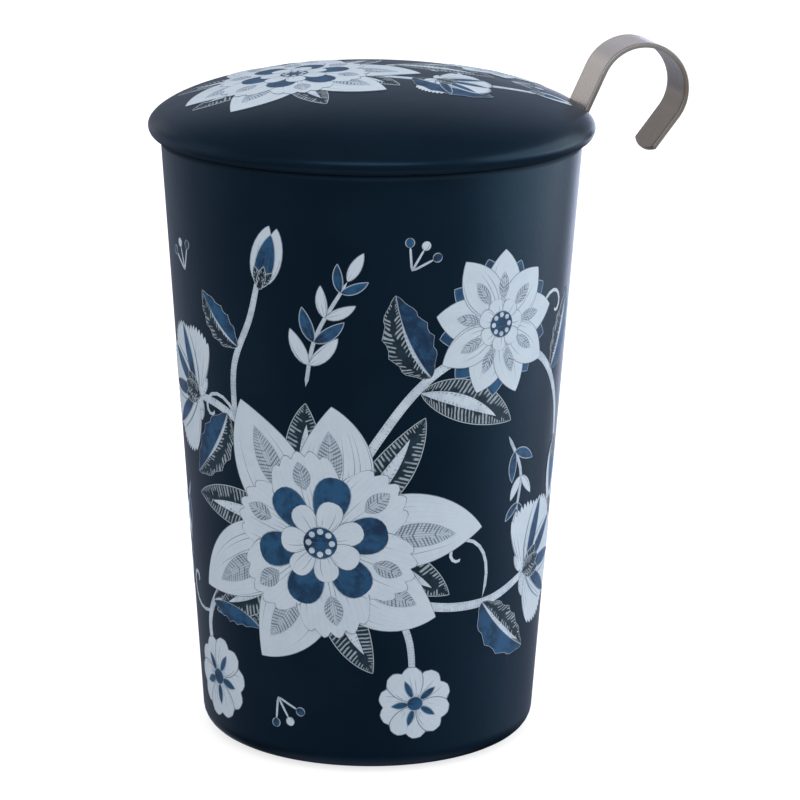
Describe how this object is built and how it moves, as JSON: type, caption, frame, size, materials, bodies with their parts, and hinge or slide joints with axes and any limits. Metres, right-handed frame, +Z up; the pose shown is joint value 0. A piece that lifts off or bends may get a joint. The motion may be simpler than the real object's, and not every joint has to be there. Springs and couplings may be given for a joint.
{
  "type": "lidded tea mug with infuser",
  "caption": "Tapered double-walled porcelain tea mug with a domed lid and a lift-out perforated steel infuser, whose flat strip handle rises through a notch in the lid.",
  "frame": {"origin": "centre of the mug's foot, on the plane that it stands on", "axes": "+Z up along the mug's axis, +X towards the infuser's handle, +Y completes the right-handed frame"},
  "size_m": [0.1063, 0.087, 0.1368],
  "materials": {
    "navy_porcelain": "satin navy glaze with a printed floral decal in pale blue-white and mid blue",
    "white_porcelain": "clear gloss glaze",
    "silicone": "matt translucent silicone",
    "stainless_steel": "satin stainless steel",
    "brushed_strip": "brushed stainless steel, grain along the strip"
  },
  "bodies": {
    "mug": {"mug_outer_wall": "navy_porcelain", "mug_inner_liner": "white_porcelain", "vent_plug": "silicone"},
    "infuser": {"basket_wall": "stainless_steel", "basket_rim": "stainless_steel", "basket_floor": "stainless_steel", "basket_foot": "stainless_steel", "handle_strip": "brushed_strip", "handle_welds": "stainless_steel"},
    "lid": {"lid": "navy_porcelain"}
  },
  "joints": [
    {"name": "infuser_lift", "type": "slide", "parent": "mug", "child": "infuser", "axis": [0, 0, 1], "range_m": [0, 0.115]},
    {"name": "lid_lift", "type": "slide", "parent": "infuser", "child": "lid", "axis": [0, 0, 1], "range_m": [0, 0.04]}
  ]
}
